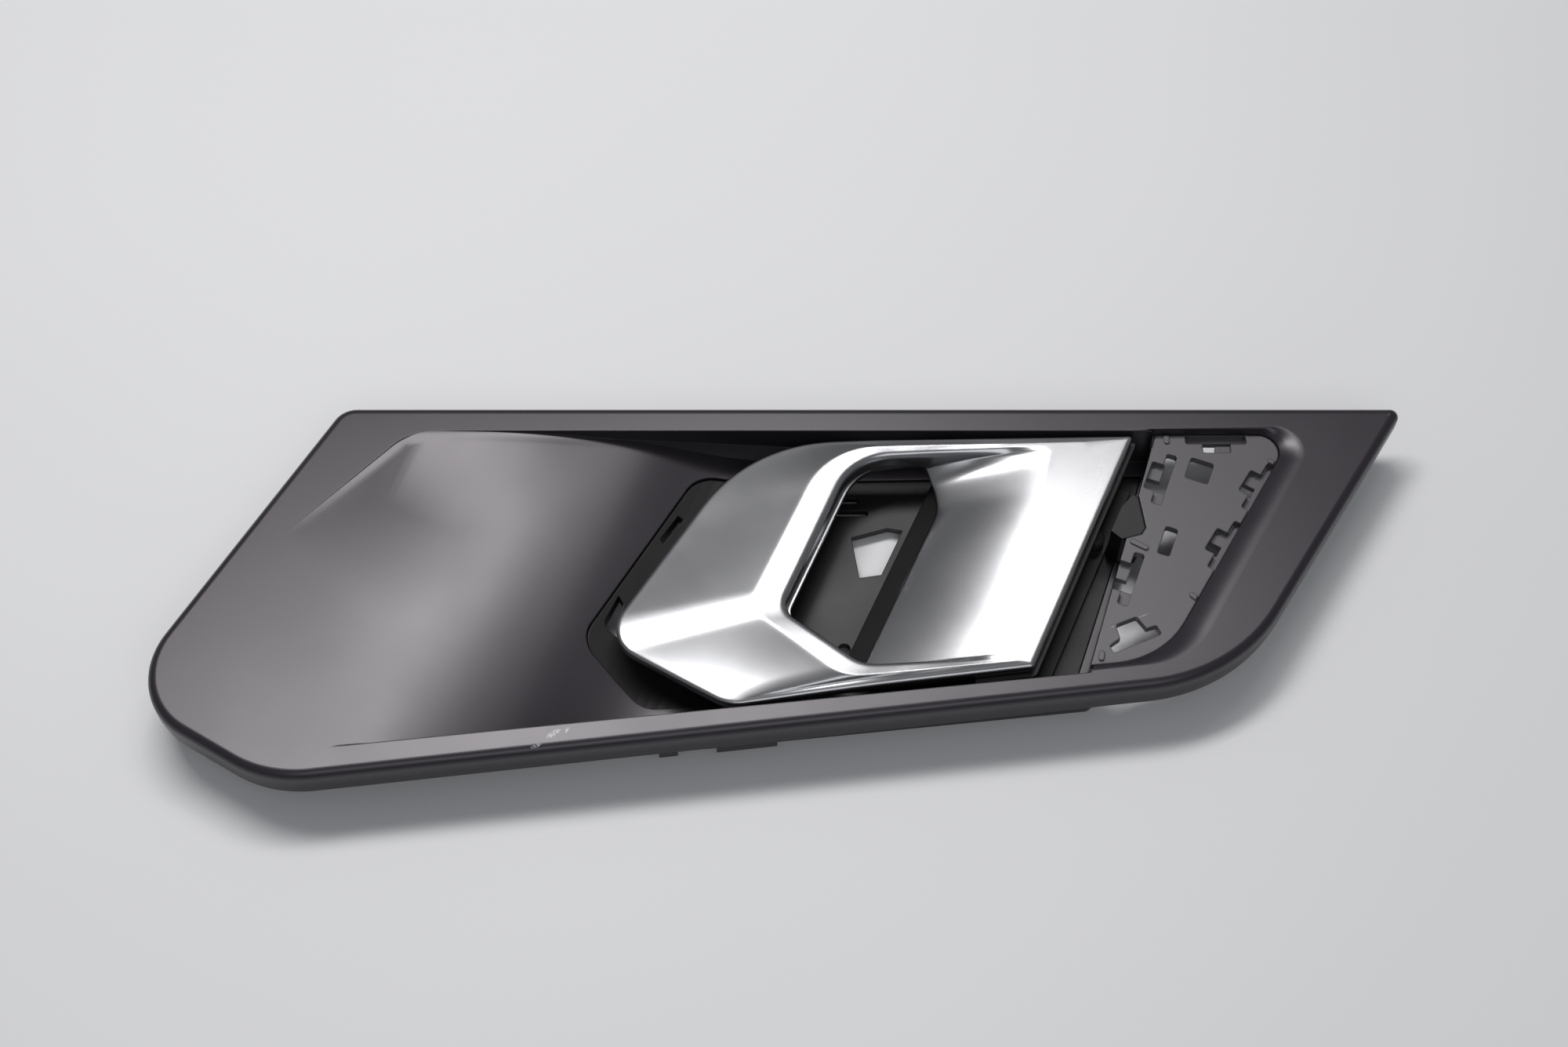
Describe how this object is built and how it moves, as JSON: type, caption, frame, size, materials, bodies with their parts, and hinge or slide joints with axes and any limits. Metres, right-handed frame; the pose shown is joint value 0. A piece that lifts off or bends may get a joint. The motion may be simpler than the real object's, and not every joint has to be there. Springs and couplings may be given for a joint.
{
  "type": "car interior door handle",
  "caption": "Slanted car door trim bezel with a dished finger recess, a sprung satin-chrome pull lever with a finger hole, and a slotted carrier plate.",
  "frame": {"origin": "middle of the bounding box, on the plane of the boss ends on which it lies", "axes": "+X along the length towards the pointed end with the carrier plate, +Y towards the straight top edge, +Z out of the visible face"},
  "size_m": [0.3401, 0.115, 0.0225],
  "materials": {
    "painted_trim": "satin",
    "black_plastic": "matt",
    "grey_plastic": "matt",
    "plated_shell": "satin",
    "steel": "bright",
    "bush_plastic": "matt",
    "rubber": "matt"
  },
  "bodies": {
    "trim": {"bezel": "painted_trim", "carrier_plate": "grey_plastic", "pocket_housing": "black_plastic", "bearing_bracket": "black_plastic", "pivot_pin": "steel", "pin_clip": "steel", "spring_sleeve": "bush_plastic", "return_spring": "steel", "rest_buffer_upper": "rubber", "rest_buffer_lower": "rubber", "open_buffer": "rubber", "cable_clamp": "black_plastic", "plate_screws": "steel", "housing_screws": "steel", "bracket_screws": "steel", "panel_clips": "steel"},
    "lever": {"lever_cover": "plated_shell", "lever_frame": "black_plastic", "upper_bush": "bush_plastic", "lower_bush": "bush_plastic", "cover_screws": "steel"}
  },
  "joints": [
    {"name": "lever_hinge", "type": "hinge", "parent": "trim", "child": "lever", "pos_m": [0.06745, 0.01099, 0.01], "axis": [0.4053, 0.9142, 0], "range_deg": [0, 18], "stiffness_Nm_per_rad": 0.3, "springref_deg": -28.65, "deforming": ["return_spring"]}
  ]
}
